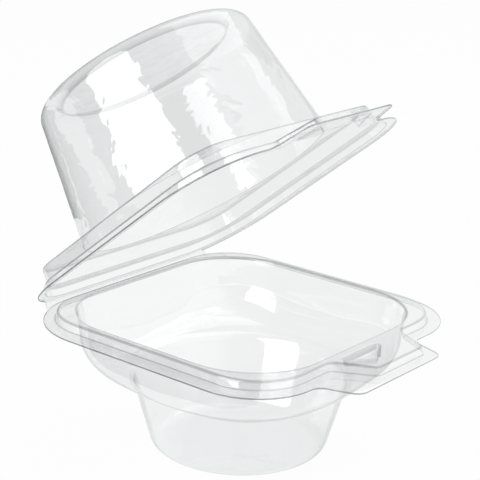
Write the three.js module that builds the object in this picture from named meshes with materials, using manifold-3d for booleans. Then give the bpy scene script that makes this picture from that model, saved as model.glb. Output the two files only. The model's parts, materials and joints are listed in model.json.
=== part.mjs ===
import * as THREE from 'three';
import * as BufferGeometryUtils from 'three/addons/utils/BufferGeometryUtils.js';
import Module from 'manifold-3d';

const { degToRad, radToDeg } = THREE.MathUtils;

// Hinged clear cupcake box: a cup base and a domed lid thermoformed from one thin sheet.
// The origin is the centre of the cup's flat bottom, +Z is up, the fold line runs along X
// behind the cup and the finger tabs face -Y. Millimetres.

// Sheet and running clearances
const sheet = 0.45;
const foldGap = 0.3;
const nestGap = 0.4;
const tightBend = 0.4;

// Plan of the rims, shared by base and lid
const rimWidth = 98.6;
const hingeReach = 48.7;
const frontReach = 48.3;
const frontCorner = 21.7;
const rearCorner = 25;

// Finger tabs, offset from each other so that each can be pulled
const tabReach = 11.7;
const tabRootWidth = 46.5;
const tabTipWidth = 39.2;
const tabTipCorner = 4;
const tabRootCorner = 4;
const baseTabShift = -3.7;
const lidTabShift = 0.5;

// Sealing bead that the rims nest on
const beadSideInset = 4.8;
const beadFrontInset = 3.9;
const beadRearInset = 4.3;
const beadHeight = 2.7;
const beadWidth = 3;
const beadDraft = 0.4;
const beadFrontCorner = 17;
const beadRearCorner = 18;
const beadTabReach = 12;
const beadTabRootWidth = 34.9;
const beadTabTipWidth = 22.4;
const beadTabShift = 1.3;
const beadTabCorner = 2.6;

// Cup and bowl
const rimHeight = 40.1;
const cupBottomRadius = 26.5;
const cupTaper = 0.28;
const cupFillet = 4;
const neckHeight = 22.3;
const shoulderHeight = 35.3;
const bowlCorner = 23;
const bowlDraft = 0.8;

// Lid: nesting step, square plinth and dome
const ledgeWidth = 3.3;
const plinthHeight = 8.1;
const plinthCorner = 12;
const plinthDraft = 0.4;
const domeHeight = 50.8;
const domeFootMargin = 1.7;
const domeTaper = 0.132;
const domeFillet = 4.5;
const panelMargin = 1.1;
const panelDepth = 2;

// Snap: a pocket pressed in the base's tab and the lug of the lid that drops in it
const pocketDepth = 2.2;
const pocketDraft = 0.7;
const pocketCorner = 1.2;
const pocketSetOut = 0.4;
const pocketWidth = 22;
const pocketReach = 7.2;

// Pose shown: the lid stands open on its fold line
const lidOpening = degToRad(38.3);

// Facets
const leastRadius = 0.05;
const mouthLap = 0.02;
const cornerSteps = 5;
const fineSteps = 16;
const pocketSteps = 3;
const widestStep = degToRad(9);
const closestStep = degToRad(2);

const wasm = await Module();
wasm.setup();

const lidRimHeight = rimHeight + foldGap;
const foldHeight = rimHeight + foldGap / 2;
const stepSpread = nestGap + sheet;
const stepHeight = beadHeight + stepSpread - foldGap;

// Corners of the polygon offset inwards by the inset, counted from the corner it starts at
function insetPolygon(points, inset) {
  const lines = points.map((p, i) => {
    const along = points[(i + 1) % points.length].clone().sub(p).normalize();
    const inward = new THREE.Vector2(-along.y, along.x);
    return { start: p.clone().addScaledVector(inward, inset), along };
  });
  return lines.map((line, i) => {
    const last = lines[(i + lines.length - 1) % lines.length];
    const across = last.along.cross(line.along);
    const between = line.start.clone().sub(last.start);
    return last.start.clone().addScaledVector(last.along, between.cross(line.along) / across);
  });
}

// The same polygon with an arc of its own radius at each corner, smaller where an edge is too short
function roundPolygon(points, radii, steps) {
  const corners = points.map((point, i) => {
    const back = points[(i + points.length - 1) % points.length].clone().sub(point).normalize();
    const edge = points[(i + 1) % points.length].clone().sub(point);
    const ahead = edge.clone().normalize();
    const half = Math.acos(THREE.MathUtils.clamp(back.dot(ahead), -1, 1)) / 2;
    const cut = Math.max(radii[i], leastRadius) / Math.tan(half);
    return { point, back, ahead, half, length: edge.length(), cut };
  });
  const shares = corners.map((corner, i) => {
    const next = corners[(i + 1) % corners.length];
    return Math.min(1, corner.length / (corner.cut + next.cut));
  });
  const out = [];
  corners.forEach(({ point, back, ahead, half, cut: wanted }, i) => {
    const cut = wanted * Math.min(shares[i], shares[(i + shares.length - 1) % shares.length]);
    const middle = back.clone().add(ahead).normalize();
    const centre = point.clone().addScaledVector(middle, (cut * Math.tan(half)) / Math.sin(half));
    const first = point.clone().addScaledVector(back, cut).sub(centre);
    const last = point.clone().addScaledVector(ahead, cut).sub(centre);
    const sweep = Math.atan2(first.cross(last), first.dot(last));
    for (let k = 0; k <= steps; k += 1) {
      out.push(first.clone().rotateAround(new THREE.Vector2(), (sweep * k) / steps).add(centre));
    }
  });
  return out;
}

// A rounded rectangle round the axis with a tapered tab on its front edge, counter-clockwise
function tabbedPlan(size, inset, steps = fineSteps) {
  const half = size.halfWidth;
  const front = -size.front;
  const tab = size.tab;
  const points = [
    new THREE.Vector2(half, size.rear),
    new THREE.Vector2(-half, size.rear),
    new THREE.Vector2(-half, front),
    new THREE.Vector2(tab.shift - tab.root / 2, front),
    new THREE.Vector2(tab.shift - tab.tip / 2, front - tab.reach),
    new THREE.Vector2(tab.shift + tab.tip / 2, front - tab.reach),
    new THREE.Vector2(tab.shift + tab.root / 2, front),
    new THREE.Vector2(half, front),
  ];
  const radii = [
    size.rearCorner - inset,
    size.rearCorner - inset,
    size.frontCorner - inset,
    tab.rootCorner + inset,
    tab.tipCorner - inset,
    tab.tipCorner - inset,
    tab.rootCorner + inset,
    size.frontCorner - inset,
  ];
  return roundPolygon(insetPolygon(points, inset), radii, steps);
}

// A rounded rectangle round the axis, counter-clockwise
function squarePlan(size, inset, steps = fineSteps) {
  const points = [
    new THREE.Vector2(size.halfWidth, size.rear),
    new THREE.Vector2(-size.halfWidth, size.rear),
    new THREE.Vector2(-size.halfWidth, -size.front),
    new THREE.Vector2(size.halfWidth, -size.front),
  ];
  const radii = points.map(() => size.corner - inset);
  return roundPolygon(insetPolygon(points, inset), radii, steps);
}

const rimWithTab = (shift) => ({
  halfWidth: rimWidth / 2,
  rear: hingeReach - foldGap / 2,
  front: frontReach,
  rearCorner,
  frontCorner,
  tab: {
    shift,
    reach: tabReach,
    root: tabRootWidth,
    tip: tabTipWidth,
    rootCorner: tabRootCorner,
    tipCorner: tabTipCorner,
  },
});
const baseRimSize = rimWithTab(baseTabShift);
const lidRimSize = rimWithTab(lidTabShift);
const beadSize = {
  halfWidth: rimWidth / 2 - beadSideInset,
  rear: hingeReach - beadRearInset,
  front: frontReach - beadFrontInset,
  rearCorner: beadRearCorner,
  frontCorner: beadFrontCorner,
  tab: {
    shift: beadTabShift,
    reach: beadTabReach,
    root: beadTabRootWidth,
    tip: beadTabTipWidth,
    rootCorner: beadTabCorner,
    tipCorner: beadTabCorner,
  },
};
const bowlSize = {
  halfWidth: beadSize.halfWidth - beadWidth,
  rear: beadSize.rear - beadWidth,
  front: beadSize.front - beadWidth,
  corner: bowlCorner,
};
const plinthSize = {
  halfWidth: beadSize.halfWidth + stepSpread - ledgeWidth,
  rear: beadSize.rear + stepSpread - ledgeWidth,
  front: beadSize.front + stepSpread - ledgeWidth,
  corner: plinthCorner,
};

// Directions in which every section is measured: each corner of the plans, none too close or too far
function directionsOf(plans) {
  const found = plans.flat().map((p) => Math.atan2(p.y, p.x)).sort((a, b) => a - b);
  const kept = [];
  found.forEach((angle) => {
    if (kept.length === 0 || angle - kept[kept.length - 1] > closestStep) kept.push(angle);
  });
  const out = [];
  kept.forEach((angle, i) => {
    const next = i + 1 < kept.length ? kept[i + 1] : kept[0] + 2 * Math.PI;
    const steps = Math.ceil((next - angle) / widestStep);
    for (let k = 0; k < steps; k += 1) out.push(angle + ((next - angle) * k) / steps);
  });
  return out;
}

// Distance from the axis to a plan in each direction
function reachOf(plan, directions) {
  return directions.map((angle) => {
    const ray = new THREE.Vector2(Math.cos(angle), Math.sin(angle));
    let reach = 0;
    plan.forEach((p, i) => {
      const q = plan[(i + 1) % plan.length];
      const along = q.clone().sub(p);
      const across = ray.cross(along);
      if (Math.abs(across) < 1e-12) return;
      const distance = p.cross(along) / across;
      const share = p.cross(ray) / across;
      if (distance > 0 && share >= -1e-9 && share <= 1 + 1e-9) reach = Math.max(reach, distance);
    });
    return reach;
  });
}

// Angles of a bend, in radians, from degrees
const bend = (from, to, steps) =>
  Array.from({ length: steps + 1 }, (unused, k) => degToRad(from + ((to - from) * k) / steps));

// Closed solid through rings that start and end on the axis
function loftSolid(directions, rings) {
  const count = directions.length;
  const positions = [0, 0, rings[0].z];
  const middle = rings.slice(1, -1);
  middle.forEach((ring) => {
    directions.forEach((angle, i) => {
      positions.push(ring.reach[i] * Math.cos(angle), ring.reach[i] * Math.sin(angle), ring.z);
    });
  });
  positions.push(0, 0, rings[rings.length - 1].z);
  const tail = positions.length / 3 - 1;
  const index = [];
  for (let i = 0; i < count; i += 1) {
    const j = (i + 1) % count;
    index.push(0, 1 + i, 1 + j);
    for (let k = 0; k + 1 < middle.length; k += 1) {
      const a = 1 + k * count;
      const b = a + count;
      index.push(a + i, b + i, b + j, a + i, b + j, a + j);
    }
    const last = 1 + (middle.length - 1) * count;
    index.push(last + i, tail, last + j);
  }
  return toManifold(positions, index);
}

// Tapered plug between two plans of as many points
function plugSolid(top, topZ, bottom, bottomZ) {
  const count = top.length;
  const centre = top.reduce((sum, p) => sum.add(p), new THREE.Vector2()).divideScalar(count);
  const positions = [centre.x, centre.y, topZ];
  top.forEach((p) => positions.push(p.x, p.y, topZ));
  bottom.forEach((p) => positions.push(p.x, p.y, bottomZ));
  positions.push(centre.x, centre.y, bottomZ);
  const tail = 2 * count + 1;
  const index = [];
  for (let i = 0; i < count; i += 1) {
    const j = (i + 1) % count;
    index.push(0, 1 + i, 1 + j);
    index.push(1 + i, 1 + count + i, 1 + count + j, 1 + i, 1 + count + j, 1 + j);
    index.push(1 + count + i, tail, 1 + count + j);
  }
  return toManifold(positions, index);
}

function toManifold(positions, index) {
  const geometry = new THREE.BufferGeometry();
  geometry.setAttribute('position', new THREE.Float32BufferAttribute(positions, 3));
  geometry.setIndex(index);
  const merged = BufferGeometryUtils.mergeVertices(geometry, 1e-4);
  return new wasm.Manifold(new wasm.Mesh({
    numProp: 3,
    vertProperties: new Float32Array(merged.attributes.position.array),
    triVerts: new Uint32Array(merged.index.array),
  }));
}

function toGeometry(solid) {
  const mesh = solid.getMesh();
  const geometry = new THREE.BufferGeometry();
  geometry.setAttribute('position', new THREE.Float32BufferAttribute(mesh.vertProperties, 3));
  geometry.setIndex(Array.from(mesh.triVerts));
  geometry.computeVertexNormals();
  return geometry;
}

// Nesting bead and flat rim, from the bead's top to the cut edge; up is 0 under the sheet, sheet on it
function beadAndRim(trace, up, spread, height, rimTop, rimSize) {
  const bead = (inset, z) => trace.ring(tabbedPlan(beadSize, inset - spread), z);
  const top = rimTop + height;
  bend(90, 0, 3).forEach((a) => {
    const radius = tightBend + up;
    const inset = beadDraft + sheet + tightBend - radius * Math.cos(a);
    bead(inset, top - sheet - tightBend + radius * Math.sin(a));
  });
  bend(0, 90, 3).forEach((a) => {
    const radius = tightBend + sheet - up;
    bead(radius * Math.cos(a) - tightBend, rimTop + tightBend - radius * Math.sin(a));
  });
  trace.ring(tabbedPlan(rimSize, 0), rimTop - sheet + up);
}

class Trace {
  constructor(directions) {
    this.directions = directions;
    this.rings = [];
  }

  point(z) {
    this.rings.push({ z });
  }

  circle(radius, z) {
    this.rings.push({ reach: this.directions.map(() => radius), z });
  }

  ring(plan, z) {
    this.rings.push({ reach: reachOf(plan, this.directions), z });
  }

  blend(plan, radius, share, shrink, z) {
    const reach = reachOf(plan, this.directions).map((r) => r + (radius - r) * share - shrink);
    this.rings.push({ reach, z });
  }
}

// One surface of the base: up is 0 outside and under the sheet, sheet on its inner face
function baseSurface(directions, up) {
  const trace = new Trace(directions);
  const slope = Math.hypot(1, cupTaper);
  const neckRadius = cupBottomRadius + cupTaper * neckHeight;
  const filletCentre = cupBottomRadius + cupTaper * cupFillet - cupFillet * slope;
  const wallAngle = -radToDeg(Math.atan(cupTaper));
  trace.point(up);
  bend(-90, wallAngle, 3).forEach((a) => {
    trace.circle(filletCentre + (cupFillet - up) * Math.cos(a), cupFillet + (cupFillet - up) * Math.sin(a));
  });
  const drop = shoulderHeight - neckHeight;
  const neckTurn = 2 * tightBend;
  trace.circle(neckRadius - (neckTurn + up) * slope + neckTurn, neckHeight - neckTurn);
  bend(84, 0, 6).forEach((a) => {
    const z = shoulderHeight - drop * Math.sin(a) + up * Math.sin(a);
    trace.blend(squarePlan(bowlSize, bowlDraft), neckRadius, 1 - Math.cos(a), up * Math.cos(a), z);
  });
  const bowlTop = rimHeight + beadHeight - sheet;
  bend(0, 90, 2).forEach((a) => {
    const radius = tightBend + up;
    const inset = radius * Math.cos(a) - tightBend;
    trace.ring(squarePlan(bowlSize, inset), bowlTop - tightBend + radius * Math.sin(a));
  });
  beadAndRim(trace, up, 0, beadHeight, rimHeight, baseRimSize);
  return trace.rings;
}

// One surface of the closed lid: up is 0 on its inner face, sheet outside
function lidSurface(directions, up) {
  const trace = new Trace(directions);
  const plinthTop = lidRimHeight + plinthHeight;
  const domeTop = rimHeight + domeHeight;
  const domeFoot = Math.min(plinthSize.halfWidth, plinthSize.front, plinthSize.rear) - domeFootMargin;
  const slope = Math.hypot(1, domeTaper);
  const under = sheet - up;
  const filletZ = domeTop - domeFillet;
  const filletCentre = domeFoot - domeTaper * (filletZ - plinthTop) - domeFillet * slope;
  const panel = filletCentre - panelMargin;
  trace.point(domeTop - panelDepth - under);
  trace.circle(panel - panelDepth - under / 2, domeTop - panelDepth - under);
  trace.circle(panel - panelDepth / 4 - under / 2, domeTop - panelDepth / 4 - under);
  trace.circle(panel - under / 4, domeTop - under);
  bend(90, radToDeg(Math.atan(domeTaper)), 5).forEach((a) => {
    const radius = domeFillet - under;
    trace.circle(filletCentre + radius * Math.cos(a), filletZ + radius * Math.sin(a));
  });
  const footCentre = domeFoot - domeTaper * tightBend + tightBend * slope;
  bend(radToDeg(Math.atan(domeTaper)), 90, 3).forEach((a) => {
    const radius = tightBend + under;
    trace.circle(footCentre - radius * Math.cos(a), plinthTop + tightBend - radius * Math.sin(a));
  });
  const plinth = (inset, z) => trace.ring(squarePlan(plinthSize, inset), z);
  bend(90, 0, 3).forEach((a) => {
    const radius = tightBend + up;
    const inset = plinthDraft + sheet + tightBend - radius * Math.cos(a);
    plinth(inset, plinthTop - sheet - tightBend + radius * Math.sin(a));
  });
  bend(0, 90, 2).forEach((a) => {
    const radius = tightBend + under;
    plinth(radius * Math.cos(a) - tightBend, lidRimHeight + stepHeight + tightBend - radius * Math.sin(a));
  });
  beadAndRim(trace, up, stepSpread, stepHeight - sheet, lidRimHeight + sheet, lidRimSize);
  return trace.rings;
}

function sheetSolid(surface, plans) {
  const directions = directionsOf(plans);
  return loftSolid(directions, [...surface(directions, sheet), ...surface(directions, 0).reverse()]);
}

// Three-cornered pocket that points to the tip of the base's tab, grown by a clearance
function pocketPlan(grow) {
  const rear = -(beadSize.front + pocketSetOut);
  const points = [
    new THREE.Vector2(baseTabShift + pocketWidth / 2, rear),
    new THREE.Vector2(baseTabShift - pocketWidth / 2, rear),
    new THREE.Vector2(baseTabShift, rear - pocketReach),
  ];
  const radii = points.map(() => pocketCorner + grow);
  return roundPolygon(insetPolygon(points, -grow), radii, pocketSteps);
}

// Presses a pocket of the given plan growth down from a face at top to a floor at bottom
function pressPocket(body, grow, top, bottom) {
  const outer = grow + sheet;
  const shellTop = top - sheet / 2;
  const shell = plugSolid(pocketPlan(outer), shellTop, pocketPlan(outer - pocketDraft), bottom - sheet);
  const hollow = plugSolid(pocketPlan(grow), top, pocketPlan(grow - pocketDraft), bottom);
  const mouth = plugSolid(pocketPlan(grow), top + sheet, pocketPlan(grow), top - mouthLap);
  return body.add(shell).subtract(hollow).subtract(mouth);
}

// Base
const plateauTop = rimHeight + beadHeight;
const pocketFloor = plateauTop - pocketDepth;
let baseBody = sheetSolid(baseSurface, [
  tabbedPlan(baseRimSize, 0, cornerSteps),
  tabbedPlan(beadSize, 0, cornerSteps),
  squarePlan(bowlSize, 0, cornerSteps),
]);
baseBody = pressPocket(baseBody, 0, plateauTop, pocketFloor);
const baseGeometry = toGeometry(baseBody);

// Lid, formed closed and then turned about the fold line
let lidBody = sheetSolid(lidSurface, [
  tabbedPlan(lidRimSize, 0, cornerSteps),
  tabbedPlan(beadSize, -stepSpread, cornerSteps),
  squarePlan(plinthSize, 0, cornerSteps),
]);
lidBody = pressPocket(lidBody, -stepSpread, lidRimHeight + stepHeight, pocketFloor + stepSpread);
const lidGeometry = toGeometry(lidBody);
lidGeometry.translate(0, -hingeReach, -foldHeight);

const clearSheet = (color) => new THREE.MeshStandardMaterial({
  color,
  roughness: 0.06,
  metalness: 0,
  transparent: true,
  opacity: 0.3,
  side: THREE.DoubleSide,
});

const base = new THREE.Mesh(baseGeometry, clearSheet(0xe9eef0));
base.name = 'base';
const lid = new THREE.Mesh(lidGeometry, clearSheet(0xe4eaee));
lid.name = 'lid';

const fold = new THREE.Group();
fold.position.set(0, hingeReach, foldHeight);
fold.rotation.x = -lidOpening;
fold.add(lid);

const box = new THREE.Group();
box.add(base);
box.add(fold);

export default box;
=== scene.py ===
"""Looks of the hinged clear cupcake box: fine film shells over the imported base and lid, studio and camera."""

import json
import math

import bpy
import numpy as np
from mathutils import Matrix, Vector


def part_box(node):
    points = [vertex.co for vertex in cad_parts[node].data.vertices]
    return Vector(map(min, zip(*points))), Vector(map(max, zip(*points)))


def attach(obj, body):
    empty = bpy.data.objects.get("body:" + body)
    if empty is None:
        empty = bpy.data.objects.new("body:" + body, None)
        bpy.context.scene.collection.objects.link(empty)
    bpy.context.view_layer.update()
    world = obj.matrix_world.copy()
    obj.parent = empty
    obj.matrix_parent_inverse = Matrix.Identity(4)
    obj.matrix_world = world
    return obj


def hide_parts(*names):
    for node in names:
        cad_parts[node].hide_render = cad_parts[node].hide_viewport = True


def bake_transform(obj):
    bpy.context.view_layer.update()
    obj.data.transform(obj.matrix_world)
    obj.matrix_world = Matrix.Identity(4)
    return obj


MM = 0.001

# Sheet and forms, in millimetres, as the frame's solids have them
SHEET = 0.45
FOLD_GAP = 0.3
NEST_GAP = 0.4
TIGHT_BEND = 0.4
FRONT_REACH = 48.3
FRONT_CORNER = 21.7
REAR_CORNER = 25
TAB_REACH = 11.7
TAB_ROOT = 46.5
TAB_TIP = 39.2
TAB_CORNER = 4
BASE_TAB_SHIFT = -3.7
LID_TAB_SHIFT = 0.5
BEAD_SIDE_INSET = 4.8
BEAD_FRONT_INSET = 3.9
BEAD_REAR_INSET = 4.3
BEAD_HEIGHT = 2.7
BEAD_WIDTH = 3
BEAD_DRAFT = 0.4
BEAD_FRONT_CORNER = 17
BEAD_REAR_CORNER = 18
BEAD_TAB_REACH = 12
BEAD_TAB_ROOT = 34.9
BEAD_TAB_TIP = 22.4
BEAD_TAB_SHIFT = 1.3
BEAD_TAB_CORNER = 2.6
CUP_BOTTOM = 26.5
CUP_TAPER = 0.28
CUP_FILLET = 4
NECK_HEIGHT = 22.3
SHOULDER_HEIGHT = 35.3
BOWL_CORNER = 23
BOWL_DRAFT = 0.8
LEDGE_WIDTH = 3.3
PLINTH_HEIGHT = 8.1
PLINTH_CORNER = 12
PLINTH_DRAFT = 0.4
DOME_HEIGHT = 50.8
DOME_FOOT_MARGIN = 1.7
DOME_TAPER = 0.132
DOME_FILLET = 4.5
PANEL_MARGIN = 1.1
PANEL_DEPTH = 2
POCKET_DEPTH = 2.2
POCKET_DRAFT = 0.7
POCKET_CORNER = 1.2
POCKET_SET_OUT = 0.4
POCKET_WIDTH = 22
POCKET_REACH = 7.2

# Angle in degrees at which the shoulder's curve leaves the neck
SHOULDER_START = 84

# How round the panel's rise is, and how fast the painted shade along its crease fades
PANEL_ROUND = 0.9
CREASE_FADE = 3

# Fineness of the film shells
LEAST_RADIUS = 0.05
CORNER_STEPS = 12
POCKET_CORNER_STEPS = 4
WIDEST_STEP = math.radians(1.6)
CLOSEST_STEP = math.radians(0.4)
BEND_STEPS = 6
SHOULDER_STEPS = 14
DOME_FILLET_STEPS = 12
CUP_WALL_RINGS = 12
BOWL_WALL_RINGS = 6
DOME_WALL_RINGS = 28
PLATEAU_RINGS = 36
RIM_RINGS = 6
LEDGE_RINGS = 5
PANEL_STEPS = 10
POCKET_STEP = 0.33

# What counts as parallel, as on an edge's end, as an edge with no length, and as the same height
PARALLEL = 1e-12
ROUNDING = 1e-9
NO_LENGTH = 1e-6
SAME_HEIGHT = 0.01

# Rings of the cup's bottom and the dome's panel, as shares of their radius
BOTTOM_RINGS = (0.02, 0.3, 0.6, 0.9)
PANEL_RINGS = (0.02, 0.25, 0.5, 0.75, 0.97)

# How much painted shade a tight bend has, beside the crease of the dome's panel
BEND_SHADE = 0.8

# Painted shade on the walls of the snap's pocket, and how far the walls begin outside its outline
POCKET_SHADE = 0.6
POCKET_LIP = 0.15

# How far the film's finer dome lies inside the solid's, to stay in the solid's box
DOME_INSIDE = 0.04

# The fold's web: swell, curl, how far its ends reach round the corners, how square they are, fineness
FOLD_SWELL = 1.2
FOLD_CURL = 0.25
FOLD_DROP = 3.2
FOLD_SQUARENESS = 16
FOLD_ROWS = 80
FOLD_STEPS = 12

# The cut edge's rounded arris, and how many strips the edge has
CUT_INSET = 0.08
CUT_ROUND = 0.06
CUT_STRIPS = 3

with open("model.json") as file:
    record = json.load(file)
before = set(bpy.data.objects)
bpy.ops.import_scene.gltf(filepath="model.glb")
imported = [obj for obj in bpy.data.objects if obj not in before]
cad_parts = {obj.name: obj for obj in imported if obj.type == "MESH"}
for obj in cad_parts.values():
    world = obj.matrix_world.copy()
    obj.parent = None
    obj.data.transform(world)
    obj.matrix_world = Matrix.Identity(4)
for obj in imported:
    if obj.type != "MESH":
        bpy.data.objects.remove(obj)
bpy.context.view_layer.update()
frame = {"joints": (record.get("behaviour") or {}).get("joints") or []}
base_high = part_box("base")[1] / MM
RIM_HALF = base_high.x
RIM_HEIGHT = base_high.z - BEAD_HEIGHT
HINGE = Vector(frame["joints"][0]["pos_m"]) / MM
HINGE_REACH = HINGE.y
LID_RIM_HEIGHT = RIM_HEIGHT + FOLD_GAP
STEP_SPREAD = NEST_GAP + SHEET
STEP_HEIGHT = BEAD_HEIGHT + STEP_SPREAD - FOLD_GAP
LID_OPENING = math.radians(-frame["joints"][0]["range_deg"][0])


# Plans


def inset_polygon(points, inset):
    """Moves every edge of a counter-clockwise polygon inwards by the inset."""
    points = np.asarray(points, float)
    along = np.roll(points, -1, 0) - points
    along /= np.linalg.norm(along, axis=1)[:, None]
    start = points + inset * np.stack([-along[:, 1], along[:, 0]], 1)
    last_start, last_along = np.roll(start, 1, 0), np.roll(along, 1, 0)
    across = last_along[:, 0] * along[:, 1] - last_along[:, 1] * along[:, 0]
    between = start - last_start
    step = (between[:, 0] * along[:, 1] - between[:, 1] * along[:, 0]) / across
    return last_start + last_along * step[:, None]


def round_polygon(points, radii, steps=CORNER_STEPS):
    """The polygon with an arc at each corner, smaller where an edge is too short for the arcs."""
    edges = np.roll(points, -1, 0) - points
    length = np.linalg.norm(edges, axis=1)
    ahead = edges / length[:, None]
    back = -np.roll(ahead, 1, 0)
    half = np.arccos(np.clip((ahead * back).sum(1), -1, 1)) / 2
    cut = np.maximum(radii, LEAST_RADIUS) / np.tan(half)
    share = np.minimum(1, length / (cut + np.roll(cut, -1)))
    cut *= np.minimum(share, np.roll(share, 1))
    out = []
    for i, corner in enumerate(points):
        middle = (back[i] + ahead[i]) / np.linalg.norm(back[i] + ahead[i])
        centre = corner + middle * cut[i] * math.tan(half[i]) / math.sin(half[i])
        first, last = corner + back[i] * cut[i] - centre, corner + ahead[i] * cut[i] - centre
        sweep = math.atan2(first[0] * last[1] - first[1] * last[0], first @ last)
        for k in range(steps + 1):
            c, s = math.cos(sweep * k / steps), math.sin(sweep * k / steps)
            out.append(centre + (first[0] * c - first[1] * s, first[0] * s + first[1] * c))
    return np.array(out)


class Plan:
    """A rounded rectangle round the axis, with a tapered tab on its front edge if one is given."""

    def __init__(self, half, rear, front, rear_corner, front_corner, tab=None):
        # Each corner has its radius and a sign: an inset makes it smaller (-1) or larger (1)
        if tab is None:
            self.points = [(half, rear), (-half, rear), (-half, -front), (half, -front)]
            self.radii = [(rear_corner, -1), (rear_corner, -1), (front_corner, -1), (front_corner, -1)]
            return
        shift, reach, root, tip, corner = tab
        self.points = [
            (half, rear),
            (-half, rear),
            (-half, -front),
            (shift - root / 2, -front),
            (shift - tip / 2, -front - reach),
            (shift + tip / 2, -front - reach),
            (shift + root / 2, -front),
            (half, -front),
        ]
        self.radii = [
            (rear_corner, -1),
            (rear_corner, -1),
            (front_corner, -1),
            (corner, 1),
            (corner, -1),
            (corner, -1),
            (corner, 1),
            (front_corner, -1),
        ]

    def outline(self, inset=0.0):
        radii = [radius + sign * inset for radius, sign in self.radii]
        return round_polygon(inset_polygon(self.points, inset), radii)


def rim_plan(shift):
    tab = (shift, TAB_REACH, TAB_ROOT, TAB_TIP, TAB_CORNER)
    return Plan(RIM_HALF, HINGE_REACH - FOLD_GAP / 2, FRONT_REACH, REAR_CORNER, FRONT_CORNER, tab)


base_rim_plan = rim_plan(BASE_TAB_SHIFT)
lid_rim_plan = rim_plan(LID_TAB_SHIFT)
BEAD_HALF = RIM_HALF - BEAD_SIDE_INSET
BEAD_REAR = HINGE_REACH - BEAD_REAR_INSET
BEAD_FRONT = FRONT_REACH - BEAD_FRONT_INSET
bead_tab = (BEAD_TAB_SHIFT, BEAD_TAB_REACH, BEAD_TAB_ROOT, BEAD_TAB_TIP, BEAD_TAB_CORNER)
bead_plan = Plan(BEAD_HALF, BEAD_REAR, BEAD_FRONT, BEAD_REAR_CORNER, BEAD_FRONT_CORNER, bead_tab)
bowl_plan = Plan(
    BEAD_HALF - BEAD_WIDTH, BEAD_REAR - BEAD_WIDTH, BEAD_FRONT - BEAD_WIDTH, BOWL_CORNER, BOWL_CORNER
)
ledge = LEDGE_WIDTH - STEP_SPREAD
plinth_plan = Plan(BEAD_HALF - ledge, BEAD_REAR - ledge, BEAD_FRONT - ledge, PLINTH_CORNER, PLINTH_CORNER)


def directions_of(outlines):
    """Directions from the axis: every corner point of the outlines, none too close or too far apart."""
    found = sorted(math.atan2(y, x) for outline in outlines for x, y in outline)
    kept = [found[0]]
    for angle in found[1:]:
        if angle - kept[-1] > CLOSEST_STEP:
            kept.append(angle)
    out = []
    for angle, after in zip(kept, kept[1:] + [kept[0] + 2 * math.pi]):
        steps = math.ceil((after - angle) / WIDEST_STEP)
        out += [angle + (after - angle) * k / steps for k in range(steps)]
    return np.array(out)


def reach_of(outline, directions):
    """Distance from the axis to an outline in each direction."""
    along = np.roll(outline, -1, 0) - outline
    ray = np.stack([np.cos(directions), np.sin(directions)], 1)
    across = ray[:, None, 0] * along[None, :, 1] - ray[:, None, 1] * along[None, :, 0]
    across = np.where(np.abs(across) < PARALLEL, np.nan, across)
    distance = (outline[:, 0] * along[:, 1] - outline[:, 1] * along[:, 0])[None] / across
    share = (outline[None, :, 0] * ray[:, None, 1] - outline[None, :, 1] * ray[:, None, 0]) / across
    hits = (distance > 0) & (share >= -ROUNDING) & (share <= 1 + ROUNDING)
    return np.where(hits, distance, 0).max(1)


def bend(start, end, steps=BEND_STEPS):
    """Angles of a bend, in radians."""
    return [math.radians(start + (end - start) * k / steps) for k in range(steps + 1)]


def tight_bend(start, end):
    """Angles of a tight bend, each with its painted shade, strongest halfway round the bend."""
    angles = bend(start, end)
    return [(a, BEND_SHADE * math.sin(math.pi * k / (len(angles) - 1))) for k, a in enumerate(angles)]


# Film shells, from the axis to the cut edge


class Film:
    """Rings of one surface, each a reach in every direction, a height and a painted shade."""

    def __init__(self, outlines):
        self.directions = directions_of(outlines)
        self.rings = []

    def circle(self, radius, z, painted_shade=0.0):
        self.rings.append((np.full(len(self.directions), radius), z, painted_shade))

    def ring(self, outline, z, painted_shade=0.0):
        self.rings.append((reach_of(outline, self.directions), z, painted_shade))

    def blend(self, outline, radius, share, z):
        reach = reach_of(outline, self.directions)
        self.rings.append((reach + (radius - reach) * share, z, 0.0))

    def fill(self, outline, z, count):
        """Even rings from the last one to an outline at the same height."""
        start = self.rings[-1][0]
        end = reach_of(outline, self.directions)
        for k in range(1, count):
            self.rings.append((start + (end - start) * k / count, z, 0.0))


def pocket_row():
    """Points across the snap's pocket, close enough for its walls."""
    half = POCKET_WIDTH / 2 + POCKET_CORNER
    return [(x, -BEAD_FRONT) for x in np.arange(BASE_TAB_SHIFT - half, BASE_TAB_SHIFT + half, POCKET_STEP)]


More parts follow.
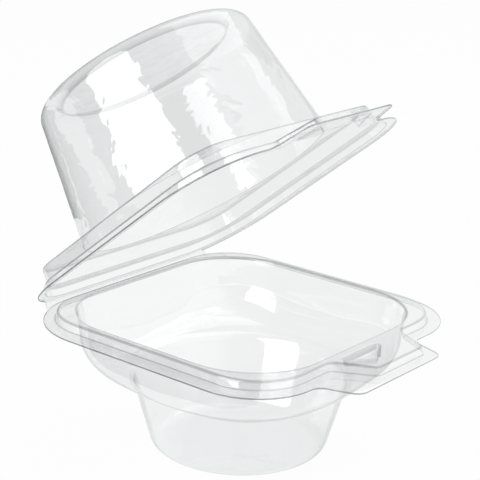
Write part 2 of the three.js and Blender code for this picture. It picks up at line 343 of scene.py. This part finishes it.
def base_film():
    """The outer surface of the cup, bowl and bead, and the top of the rim."""
    film = Film([base_rim_plan.outline(), bead_plan.outline(), bowl_plan.outline(), pocket_row()])
    slope = math.hypot(1, CUP_TAPER)
    centre = CUP_BOTTOM + CUP_TAPER * CUP_FILLET - CUP_FILLET * slope
    for share in BOTTOM_RINGS:
        film.circle(centre * share, 0)
    for a in bend(-90, -math.degrees(math.atan(CUP_TAPER))):
        film.circle(centre + CUP_FILLET * math.cos(a), CUP_FILLET + CUP_FILLET * math.sin(a))
    neck = CUP_BOTTOM + CUP_TAPER * NECK_HEIGHT
    for z in np.linspace(CUP_FILLET + 1, NECK_HEIGHT - 2 * TIGHT_BEND, CUP_WALL_RINGS):
        film.circle(CUP_BOTTOM + CUP_TAPER * z, z)
    for a in bend(SHOULDER_START, 0, SHOULDER_STEPS):
        z = SHOULDER_HEIGHT - (SHOULDER_HEIGHT - NECK_HEIGHT) * math.sin(a)
        film.blend(bowl_plan.outline(BOWL_DRAFT), neck, 1 - math.cos(a), z)
    top = RIM_HEIGHT + BEAD_HEIGHT
    for z in np.linspace(SHOULDER_HEIGHT, top - TIGHT_BEND - SHEET, BOWL_WALL_RINGS)[1:-1]:
        film.ring(bowl_plan.outline(BOWL_DRAFT * (top - z) / (top - SHOULDER_HEIGHT)), z)
    radius = TIGHT_BEND + SHEET
    for a, painted_shade in tight_bend(0, 90):
        film.ring(bowl_plan.outline(radius * math.cos(a) - radius), top - radius + radius * math.sin(a), painted_shade)
    add_bead_and_rim(film, 0, top, RIM_HEIGHT, base_rim_plan)
    return film


def add_bead_and_rim(film, spread, top, rim_top, rim):
    """Plateau, bead wall, flat rim and cut edge."""
    radius = TIGHT_BEND + SHEET
    wall_top = BEAD_DRAFT + radius - spread
    film.fill(bead_plan.outline(wall_top), top, PLATEAU_RINGS)
    for a, painted_shade in tight_bend(90, 0):
        inset = wall_top - radius * math.cos(a)
        film.ring(bead_plan.outline(inset), top - radius + radius * math.sin(a), painted_shade)
    foot = TIGHT_BEND
    for a, painted_shade in tight_bend(0, 90):
        inset = -spread - foot + foot * math.cos(a)
        film.ring(bead_plan.outline(inset), rim_top + foot - foot * math.sin(a), painted_shade)
    film.fill(rim.outline(CUT_INSET), rim_top, RIM_RINGS)
    film.ring(rim.outline(CUT_INSET), rim_top)
    film.ring(rim.outline(0), rim_top - CUT_ROUND)
    film.ring(rim.outline(0), rim_top - SHEET + CUT_ROUND)
    film.ring(rim.outline(CUT_INSET), rim_top - SHEET)


def lid_film():
    """The outer surface of the closed lid."""
    step_outline = bead_plan.outline(-STEP_SPREAD)
    film = Film([lid_rim_plan.outline(), step_outline, plinth_plan.outline(), pocket_row()])
    plinth_top = LID_RIM_HEIGHT + PLINTH_HEIGHT
    dome_top = RIM_HEIGHT + DOME_HEIGHT - DOME_INSIDE
    foot = min(BEAD_HALF, BEAD_FRONT, BEAD_REAR) - ledge - DOME_FOOT_MARGIN - DOME_INSIDE
    slope = math.hypot(1, DOME_TAPER)
    lean = math.degrees(math.atan(DOME_TAPER))
    fillet_z = dome_top - DOME_FILLET
    centre = foot - DOME_TAPER * (fillet_z - plinth_top) - DOME_FILLET * slope
    panel = centre - PANEL_MARGIN
    crease = panel - PANEL_DEPTH
    for share in PANEL_RINGS:
        film.circle(crease * share, dome_top - PANEL_DEPTH)
    for k in range(PANEL_STEPS + 1):
        share = k / PANEL_STEPS
        rise = math.sin(math.pi / 2 * share) ** PANEL_ROUND
        z = dome_top - PANEL_DEPTH * (1 - rise)
        # Painted shade along the panel's crease, fading up its rise
        film.circle(crease + PANEL_DEPTH * share, z, (1 - share) ** CREASE_FADE)
    for a in bend(90, lean, DOME_FILLET_STEPS):
        film.circle(centre + DOME_FILLET * math.cos(a), fillet_z + DOME_FILLET * math.sin(a))
    turn = TIGHT_BEND
    wall_top = fillet_z + DOME_FILLET * math.sin(math.radians(lean))
    for z in np.linspace(wall_top, plinth_top + turn, DOME_WALL_RINGS)[1:-1]:
        film.circle(foot - DOME_TAPER * (z - plinth_top), z)
    turn_centre = foot - DOME_TAPER * turn + turn * slope
    for a, painted_shade in tight_bend(lean, 90):
        film.circle(turn_centre - turn * math.cos(a), plinth_top + turn - turn * math.sin(a), painted_shade)
    radius = TIGHT_BEND + SHEET
    wall = PLINTH_DRAFT + radius
    film.fill(plinth_plan.outline(wall), plinth_top, LEDGE_RINGS)
    for a, painted_shade in tight_bend(90, 0):
        inset = wall - radius * math.cos(a)
        film.ring(plinth_plan.outline(inset), plinth_top - radius + radius * math.sin(a), painted_shade)
    ledge_top = LID_RIM_HEIGHT + STEP_HEIGHT
    for a, painted_shade in tight_bend(0, 90):
        inset = TIGHT_BEND * math.cos(a) - TIGHT_BEND
        film.ring(plinth_plan.outline(inset), ledge_top + TIGHT_BEND - TIGHT_BEND * math.sin(a), painted_shade)
    add_bead_and_rim(film, STEP_SPREAD, ledge_top, LID_RIM_HEIGHT + SHEET, lid_rim_plan)
    return film


def pocket_outline(grow):
    """Three-cornered pocket that points to the tip of the base's tab."""
    rear = -(BEAD_FRONT + POCKET_SET_OUT)
    half = POCKET_WIDTH / 2
    tip = (BASE_TAB_SHIFT, rear - POCKET_REACH)
    points = [(BASE_TAB_SHIFT + half, rear), (BASE_TAB_SHIFT - half, rear), tip]
    radii = [POCKET_CORNER + grow] * len(points)
    return round_polygon(inset_polygon(points, -grow), radii, POCKET_CORNER_STEPS)


def depth_inside(points, outline):
    """How far inside a convex outline each point is, negative outside."""
    along = np.roll(outline, -1, 0) - outline
    length = np.linalg.norm(along, axis=1)
    keep = length > NO_LENGTH
    along, start = along[keep] / length[keep, None], outline[keep]
    offset = points[:, None] - start[None]
    return (along[None, :, 0] * offset[..., 1] - along[None, :, 1] * offset[..., 0]).min(1)


def press_pocket(points, painted_shade, grow, top, depth):
    """Presses the snap's pocket into the points of the plateau, and paints shade on its walls."""
    near = np.abs(points[:, 2] - top) < SAME_HEIGHT
    inside = depth_inside(points[near, :2], pocket_outline(grow))
    share = np.clip((inside + POCKET_LIP) / POCKET_DRAFT, 0, 1)
    points[near, 2] -= depth * share * share * (3 - 2 * share)
    # Painted shade, strongest halfway down the pocket's walls
    painted_shade[near] = np.maximum(painted_shade[near], 4 * POCKET_SHADE * share * (1 - share))


def add_mesh(name, points, faces, materials, smooth=False):
    """A new object with the given mesh and materials, in the scene."""
    mesh = bpy.data.meshes.new(name)
    mesh.from_pydata(points, [], faces)
    mesh.polygons.foreach_set("use_smooth", [smooth] * len(faces))
    for material in materials:
        mesh.materials.append(material)
    mesh.update()
    obj = bpy.data.objects.new(name, mesh)
    bpy.context.scene.collection.objects.link(obj)
    return obj


def film_object(name, film, pocket, materials):
    """A smooth mesh through the film's rings; the last strips are the sheet's cut edge, but for the fold."""
    count = len(film.directions)
    rays = np.stack([np.cos(film.directions), np.sin(film.directions)], 1)
    rings = [np.column_stack([rays * reach[:, None], np.full(count, z)]) for reach, z, painted_shade in film.rings]
    points = np.vstack(rings)
    painted_shade = np.repeat([ring[2] for ring in film.rings], count)
    press_pocket(points, painted_shade, *pocket)
    middle = len(points)
    points = np.vstack([points, [0, 0, film.rings[0][1]]])
    faces = [(middle, i, (i + 1) % count) for i in range(count)]
    for k in range(len(rings) - 1):
        a, b = k * count, (k + 1) * count
        for i in range(count):
            j = (i + 1) % count
            faces.append((a + i, b + i, b + j, a + j))
    obj = add_mesh(name, (points * MM).tolist(), faces, materials, smooth=True)
    cut = rings[-1][:, 1] < HINGE_REACH - FOLD_DROP
    uncut_faces = len(faces) - CUT_STRIPS * count
    slots = [0] * uncut_faces + [int(is_cut) for is_cut in np.tile(cut, CUT_STRIPS)]
    obj.data.polygons.foreach_set("material_index", slots)
    # Painted shade of the tight bends, the panel's crease and the pocket's walls, kept on the points for the
    # film's material
    obj.data.attributes.new("painted_shade", "FLOAT", "POINT").data.foreach_set("value", [*painted_shade, 0.0])
    return obj


def open_lid(obj):
    """Turns a closed lid about the fold line to the pose of the frame, in its mesh."""
    pivot = HINGE * MM
    turn = Matrix.Rotation(-LID_OPENING, 4, "X")
    obj.data.transform(Matrix.Translation(pivot) @ turn @ Matrix.Translation(-pivot))


def drop_at(x):
    """How far the rim's rear edge falls back from the fold line where its corner begins."""
    beyond = max(0.0, abs(x) - (RIM_HALF - REAR_CORNER))
    return REAR_CORNER - math.sqrt(REAR_CORNER**2 - beyond**2)


def fold_object(material):
    """The bent web of the fold, from the base's edge round the fold line to the lid's edge."""
    beyond = math.sqrt(REAR_CORNER**2 - (REAR_CORNER - FOLD_DROP) ** 2)
    half = RIM_HALF - REAR_CORNER + beyond
    turn = Matrix.Rotation(-LID_OPENING, 2)
    points, faces = [], []
    for r in range(FOLD_ROWS + 1):
        x = -half + 2 * half * r / FOLD_ROWS
        taper = math.sqrt(1 - abs(x / half) ** FOLD_SQUARENESS)
        inside = Vector((-drop_at(x) - FOLD_GAP / 2, 0))
        low = inside + Vector((0, -FOLD_GAP / 2 - SHEET / 2))
        high = turn @ (inside + Vector((0, FOLD_GAP / 2 + SHEET / 2)))
        middle = (low + high) / 2
        out = Vector((high.y - low.y, low.x - high.x)).normalized() * (FOLD_SWELL * taper)
        for k in range(FOLD_STEPS + 1):
            a = math.pi * (k / FOLD_STEPS - 0.5)
            side = middle + (high - low) / 2 * math.sin(a) + out * math.cos(a)
            curl = out.normalized() * FOLD_CURL * taper * math.sin(2 * a) ** 2
            place = (x, HINGE.y + side.x + curl.x, HINGE.z + side.y + curl.y)
            points.append([c * MM for c in place])
    for r in range(FOLD_ROWS):
        for k in range(FOLD_STEPS):
            a = r * (FOLD_STEPS + 1) + k
            faces.append((a, a + FOLD_STEPS + 1, a + FOLD_STEPS + 2, a + 1))
    return add_mesh("fold_web", points, faces, [material], smooth=True)


# Materials


# Share that the film's two faces mirror when seen straight on, and how it rises towards grazing
MIRROR_FACING = 0.095
MIRROR_POWER = 3.6

# Tints of the film from facing to grazing, as slant and red; green and blue are a little paler
LID_TINTS = ((0.1, 0.925), (0.72, 0.89), (0.82, 0.76), (0.95, 0.62))
BASE_TINTS = ((0.1, 0.945), (0.7, 0.925), (0.78, 0.76), (0.95, 0.58))
# Tint of the film where its painted shade is full, on the lid and on the base
LID_PAINTED_SHADE = 0.6
BASE_PAINTED_SHADE = 0.55
PALER = (0, 0.003, 0.006)

# Most layers of film that a ray passes, one behind the other
MOST_LAYERS = 32

# What the film's faces mirror: its colour and how blurred it is
MIRROR_COLOUR = (0.97, 0.98, 0.98, 1)
MIRROR_ROUGHNESS = 0.05

# Ripples of the film: scale of the noise and its height, in metres, then their detail and distortion
LID_WAVES = ((28, 0.0007), (105, 0.0004), (420, 0.000012))
BASE_WAVES = ((24, 0.0004), (95, 0.00015), (420, 0.000012))
WAVE_DETAIL = 2
WAVE_DISTORTION = 0.5

# Painted shade of the cut edge at its left end, and at its right end, paler with painted light as it gathers
# light from the paler side
LEFT_EDGE_PAINTED_SHADE = (0.45, 0.46, 0.47)
RIGHT_EDGE_PAINTED_LIGHT = (0.66, 0.67, 0.68)

# Grain of the cut edge: scale and detail of the noise, its dark and pale ends, and how dark it gets
EDGE_GRAIN = (260, 3)
EDGE_GRAIN_ENDS = (0.35, 0.7)
EDGE_GRAIN_SHADE = 0.75
EDGE_MIRROR = 0.12
EDGE_ROUGHNESS = 0.2


def new_material(name):
    material = bpy.data.materials.new(name)
    material.use_nodes = True
    material.node_tree.nodes.clear()
    return material, material.node_tree.nodes, material.node_tree.links


def add_noise(nodes, links, place, scale, detail, distortion=0.0):
    """A noise texture that is fixed to the object."""
    noise = nodes.new("ShaderNodeTexNoise")
    noise.inputs["Scale"].default_value = scale
    noise.inputs["Detail"].default_value = detail
    noise.inputs["Distortion"].default_value = distortion
    links.new(place.outputs["Object"], noise.inputs["Vector"])
    return noise


def add_ramp(nodes, stops):
    """A colour ramp with the given stops, each a place and a colour."""
    ramp = nodes.new("ShaderNodeValToRGB")
    for place, colour in stops[1:-1]:
        ramp.color_ramp.elements.new(place)
    for element, (place, colour) in zip(ramp.color_ramp.elements, stops):
        element.position = place
        element.color = colour
    return ramp


def mix_into(nodes, links, out, first, second):
    """Mixes two shaders into the output, and gives back the socket for the second one's share."""
    mix = nodes.new("ShaderNodeMixShader")
    links.new(first.outputs[0], mix.inputs[1])
    links.new(second.outputs[0], mix.inputs[2])
    links.new(mix.outputs["Shader"], out.inputs["Surface"])
    return mix.inputs["Fac"]


def tint(level):
    """Colour of a tint, from how much red it lets through."""
    return (*(level + more for more in PALER), 1)


def film_material(name, tints, painted_shade_tint, waves):
    """Thin clear film: it passes what is behind it, mirrors at grazing angles, ripples slightly and has painted
    shade at bends.
    """
    material, nodes, links = new_material(name)
    out = nodes.new("ShaderNodeOutputMaterial")
    place = nodes.new("ShaderNodeTexCoord")
    normal = None
    for scale, height in waves:
        noise = add_noise(nodes, links, place, scale, WAVE_DETAIL, WAVE_DISTORTION)
        bump = nodes.new("ShaderNodeBump")
        bump.inputs["Strength"].default_value = 1
        bump.inputs["Distance"].default_value = height
        links.new(noise.outputs["Fac"], bump.inputs["Height"])
        if normal:
            links.new(normal, bump.inputs["Normal"])
        normal = bump.outputs["Normal"]

    facing = nodes.new("ShaderNodeLayerWeight")
    facing.inputs["Blend"].default_value = 0.5
    links.new(normal, facing.inputs["Normal"])
    shade = add_ramp(nodes, [(slant, tint(level)) for slant, level in tints])
    links.new(facing.outputs["Facing"], shade.inputs["Fac"])
    # Painted shade at tight bends, the panel's crease and the pocket's walls, multiplied into the tint
    painted_shade = nodes.new("ShaderNodeAttribute")
    painted_shade.attribute_name = "painted_shade"
    darker = nodes.new("ShaderNodeMix")
    darker.data_type = "RGBA"
    darker.blend_type = "MULTIPLY"
    darker.inputs["B"].default_value = tint(painted_shade_tint)
    links.new(painted_shade.outputs["Fac"], darker.inputs["Factor"])
    links.new(shade.outputs["Color"], darker.inputs["A"])
    clear = nodes.new("ShaderNodeBsdfTransparent")
    links.new(darker.outputs["Result"], clear.inputs["Color"])

    gloss = nodes.new("ShaderNodeBsdfGlossy")
    gloss.inputs["Roughness"].default_value = MIRROR_ROUGHNESS
    gloss.inputs["Color"].default_value = MIRROR_COLOUR
    links.new(normal, gloss.inputs["Normal"])

    rise = nodes.new("ShaderNodeMath")
    rise.operation = "POWER"
    rise.inputs[1].default_value = MIRROR_POWER
    links.new(facing.outputs["Facing"], rise.inputs[0])
    mirror = nodes.new("ShaderNodeMapRange")
    mirror.inputs["To Min"].default_value = MIRROR_FACING
    links.new(rise.outputs["Value"], mirror.inputs["Value"])
    links.new(mirror.outputs["Result"], mix_into(nodes, links, out, clear, gloss))
    return material


def edge_material():
    """The cut edge of the sheet, which gathers light from inside it: painted shade makes it a thin grey line,
    and painted light makes its right end paler.
    """
    material, nodes, links = new_material("cut_edge")
    out = nodes.new("ShaderNodeOutputMaterial")
    place = nodes.new("ShaderNodeTexCoord")
    grain = add_noise(nodes, links, place, *EDGE_GRAIN)
    dark = (*(EDGE_GRAIN_SHADE * c for c in LEFT_EDGE_PAINTED_SHADE), 1)
    shade = add_ramp(nodes, list(zip(EDGE_GRAIN_ENDS, (dark, (*LEFT_EDGE_PAINTED_SHADE, 1)))))
    links.new(grain.outputs["Fac"], shade.inputs["Fac"])
    # Painted light: the cut edge turns paler towards its right end, by its place across the box
    side = nodes.new("ShaderNodeSeparateXYZ")
    links.new(place.outputs["Object"], side.inputs["Vector"])
    rightwards = nodes.new("ShaderNodeMapRange")
    rightwards.inputs["From Min"].default_value = -RIM_HALF * MM
    rightwards.inputs["From Max"].default_value = RIM_HALF * MM
    links.new(side.outputs["X"], rightwards.inputs["Value"])
    painted_light = nodes.new("ShaderNodeMix")
    painted_light.data_type = "RGBA"
    painted_light.inputs["B"].default_value = (*RIGHT_EDGE_PAINTED_LIGHT, 1)
    links.new(rightwards.outputs["Result"], painted_light.inputs["Factor"])
    links.new(shade.outputs["Color"], painted_light.inputs["A"])
    clear = nodes.new("ShaderNodeBsdfTransparent")
    links.new(painted_light.outputs["Result"], clear.inputs["Color"])
    gloss = nodes.new("ShaderNodeBsdfGlossy")
    gloss.inputs["Roughness"].default_value = EDGE_ROUGHNESS
    mix_into(nodes, links, out, clear, gloss).default_value = EDGE_MIRROR
    return material


# Studio


# The floor: its own whiteness, the colour that takes light and shadow, its reach and drop in metres
FLOOR_WHITENESS = 0.93
FLOOR_COLOUR = (0.93, 0.93, 0.93, 1)
FLOOR_REACH = 6.0
FLOOR_DROP = 0.0002

# The paler side of the studio, and how bright its walls are from the darker side to the paler one
PALE_SIDE = Vector((0.78, -0.6, 0.18)).normalized()
WALLS = ((0.0, 0.1), (0.35, 0.22), (0.52, 0.38), (0.65, 0.85), (0.85, 0.98))

# The dark card behind the box: its left and right end, height and distance in metres, and its brightness
STANDING_CARD = (-0.04, 0.09, 0.08, 0.2)
STANDING_LEVEL = 0.4

# The dark card that lies beside the box: its left, right, front and rear end, and its brightness
LYING_CARD = (-0.5, -0.052, -0.2, 0.4)
LYING_LEVEL = 0.35

# Softboxes: direction from the box, distance, width and height in metres, and power in watts
KEY_LAMP = ((-0.918, 0.128, 0.375), 1.2, (0.95, 1.15), 10.5)
TOP_LAMP = ((0.5, -0.1, 0.9), 1.4, (1.4, 1.4), 5)
LAMP_TARGET = Vector((0, 0.01, 0.06))


def seen_rays(nodes, links, kinds):
    """1 for rays of the given kinds, else 0."""
    path = nodes.new("ShaderNodeLightPath")
    found = path.outputs[kinds[0]]
    for kind in kinds[1:]:
        either = nodes.new("ShaderNodeMath")
        either.operation = "MAXIMUM"
        links.new(found, either.inputs[0])
        links.new(path.outputs[kind], either.inputs[1])
        found = either.outputs["Value"]
    return found


def floor_material():
    """Pale studio floor: white to the camera and in reflections, with a faint shadow."""
    material, nodes, links = new_material("studio_floor")
    out = nodes.new("ShaderNodeOutputMaterial")
    diffuse = nodes.new("ShaderNodeBsdfDiffuse")
    diffuse.inputs["Color"].default_value = FLOOR_COLOUR
    white = nodes.new("ShaderNodeEmission")
    white.inputs["Strength"].default_value = 1
    share = nodes.new("ShaderNodeMath")
    share.operation = "MULTIPLY"
    share.inputs[1].default_value = FLOOR_WHITENESS
    seen = seen_rays(nodes, links, ("Is Camera Ray", "Is Glossy Ray", "Is Transmission Ray"))
    links.new(seen, share.inputs[0])
    links.new(share.outputs["Value"], mix_into(nodes, links, out, diffuse, white))
    return material


def add_floor():
    reach = FLOOR_REACH
    corners = [(-reach, -reach, 0), (reach, -reach, 0), (reach, reach, 0), (-reach, reach, 0)]
    floor = add_mesh("floor", corners, [(0, 1, 2, 3)], [floor_material()])
    floor.location.z = -FLOOR_DROP


def add_world():
    """White to the camera; in reflections and as light, walls from grey on one side to pale on the other."""
    world = bpy.data.worlds.new("studio")
    bpy.context.scene.world = world
    world.use_nodes = True
    nodes, links = world.node_tree.nodes, world.node_tree.links
    nodes.clear()
    out = nodes.new("ShaderNodeOutputWorld")
    direction = nodes.new("ShaderNodeTexCoord")
    towards = nodes.new("ShaderNodeVectorMath")
    towards.operation = "DOT_PRODUCT"
    towards.inputs[1].default_value = PALE_SIDE
    links.new(direction.outputs["Generated"], towards.inputs[0])
    spread = nodes.new("ShaderNodeMapRange")
    spread.inputs["From Min"].default_value = -1
    links.new(towards.outputs["Value"], spread.inputs["Value"])
    ramp = add_ramp(nodes, [(place, (level, level, level, 1)) for place, level in WALLS])
    links.new(spread.outputs["Result"], ramp.inputs["Fac"])
    surround = nodes.new("ShaderNodeBackground")
    surround.inputs["Strength"].default_value = 1
    links.new(ramp.outputs["Color"], surround.inputs["Color"])
    white = nodes.new("ShaderNodeBackground")
    white.inputs["Color"].default_value = (1, 1, 1, 1)
    white.inputs["Strength"].default_value = 1
    seen = seen_rays(nodes, links, ("Is Camera Ray", "Is Transmission Ray"))
    links.new(seen, mix_into(nodes, links, out, surround, white))


def add_softbox(name, direction, distance, size, power):
    """An area lamp that looks at the middle of the box."""
    light = bpy.data.lights.new(name, "AREA")
    light.shape = "RECTANGLE"
    light.size, light.size_y = size
    light.energy = power
    lamp = bpy.data.objects.new(name, light)
    lamp.visible_camera = False
    lamp.location = LAMP_TARGET + Vector(direction).normalized() * distance
    lamp.rotation_euler = (LAMP_TARGET - lamp.location).to_track_quat("-Z", "Y").to_euler()
    bpy.context.scene.collection.objects.link(lamp)


def add_card(name, corners, level):
    """A dark card that shows only in the film's reflections, as in a studio."""
    material, nodes, links = new_material(name)
    out = nodes.new("ShaderNodeOutputMaterial")
    dark = nodes.new("ShaderNodeBsdfDiffuse")
    dark.inputs["Color"].default_value = (level, level, level, 1)
    links.new(dark.outputs["BSDF"], out.inputs["Surface"])
    card = add_mesh(name, corners, [(0, 1, 2, 3)], [material])
    card.visible_camera = False
    card.visible_diffuse = False
    card.visible_transmission = False
    card.visible_shadow = False


def add_cards():
    left, right, height, rear = STANDING_CARD
    corners = [(left, rear, 0), (right, rear, 0), (right, rear, height), (left, rear, height)]
    add_card("standing_card", corners, STANDING_LEVEL)
    left, right, front, rear = LYING_CARD
    corners = [(left, front, 0), (right, front, 0), (right, rear, 0), (left, rear, 0)]
    add_card("lying_card", corners, LYING_LEVEL)


# Camera, in millimetres and degrees
CAMERA_AZIMUTH = -50.93
CAMERA_PITCH = 17.38
CAMERA_ROLL = 1.79
CAMERA_DISTANCE = 441.07
CAMERA_LENS = 112.2
AIM_HEIGHT = 58.8
AIM_RIGHT = -1.18
AIM_UP = 5.14


def add_camera():
    camera_data = bpy.data.cameras.new("camera")
    camera_data.sensor_width = 36
    camera_data.lens = CAMERA_LENS
    camera = bpy.data.objects.new("camera", camera_data)
    azimuth, pitch = math.radians(CAMERA_AZIMUTH), math.radians(CAMERA_PITCH)
    level = math.cos(pitch)
    back = Vector((math.sin(azimuth) * level, -math.cos(azimuth) * level, math.sin(pitch)))
    level_right = Vector((math.cos(azimuth), math.sin(azimuth), 0))
    level_up = back.cross(level_right)
    roll = math.radians(CAMERA_ROLL)
    right = math.cos(roll) * level_right + math.sin(roll) * level_up
    up = back.cross(right)
    place = Vector((0, 0, AIM_HEIGHT)) + AIM_RIGHT * right + AIM_UP * up + CAMERA_DISTANCE * back
    camera.matrix_world = Matrix((
        (right.x, up.x, back.x, place.x * MM),
        (right.y, up.y, back.y, place.y * MM),
        (right.z, up.z, back.z, place.z * MM),
        (0, 0, 0, 1),
    ))
    bpy.context.scene.collection.objects.link(camera)
    bpy.context.scene.camera = camera


def build():
    lid_clear = film_material("lid_film", LID_TINTS, LID_PAINTED_SHADE, LID_WAVES)
    base_clear = film_material("base_film", BASE_TINTS, BASE_PAINTED_SHADE, BASE_WAVES)
    cut_edge = edge_material()

    bead_top = RIM_HEIGHT + BEAD_HEIGHT
    pocket = (0, bead_top, POCKET_DEPTH)
    base = film_object("base_shell", base_film(), pocket, (base_clear, cut_edge))
    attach(base, "base")
    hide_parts("base")

    step_top = LID_RIM_HEIGHT + STEP_HEIGHT
    lug = (-STEP_SPREAD, step_top, step_top - (bead_top - POCKET_DEPTH + STEP_SPREAD))
    lid = film_object("lid_shell", lid_film(), lug, (lid_clear, cut_edge))
    open_lid(lid)
    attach(lid, "lid")
    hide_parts("lid")

    fold = fold_object(base_clear)
    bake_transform(fold)

    add_floor()
    add_world()
    add_cards()
    add_softbox("key", *KEY_LAMP)
    add_softbox("top", *TOP_LAMP)
    add_camera()
    scene = bpy.context.scene
    scene.view_settings.view_transform = "Standard"
    scene.cycles.transparent_max_bounces = MOST_LAYERS


build()
